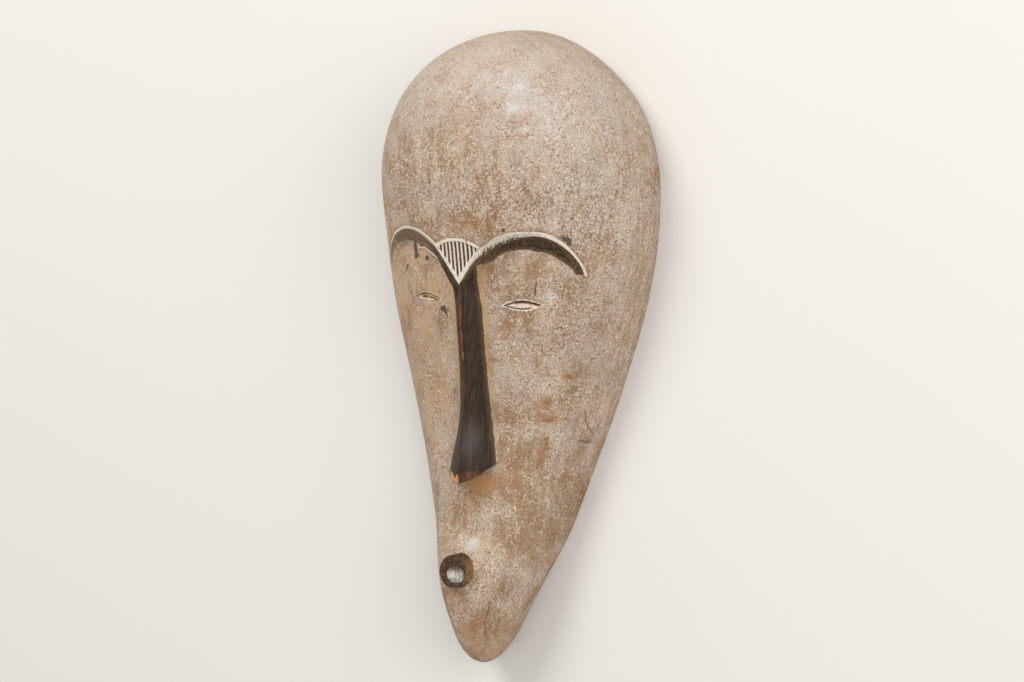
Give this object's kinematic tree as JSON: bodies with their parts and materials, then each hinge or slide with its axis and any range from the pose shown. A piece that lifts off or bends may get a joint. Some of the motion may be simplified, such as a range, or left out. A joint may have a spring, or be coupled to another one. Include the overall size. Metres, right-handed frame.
{
  "type": "mask",
  "caption": "Long hollow-backed wooden face mask with arched brows, a grooved fan above a long nose, slit eyes and a small round mouth; it lies on its rim.",
  "frame": {"origin": "middle of the plane of the back rim, centred on the overall width and length", "axes": "+Z out of the face away from the rim, +Y from chin to crown, +X towards the viewer's right"},
  "size_m": [0.2766, 0.5965, 0.1522],
  "materials": {
    "painted_wood": "matte"
  },
  "bodies": {
    "root": {"carved_mask": "painted_wood"}
  },
  "joints": []
}
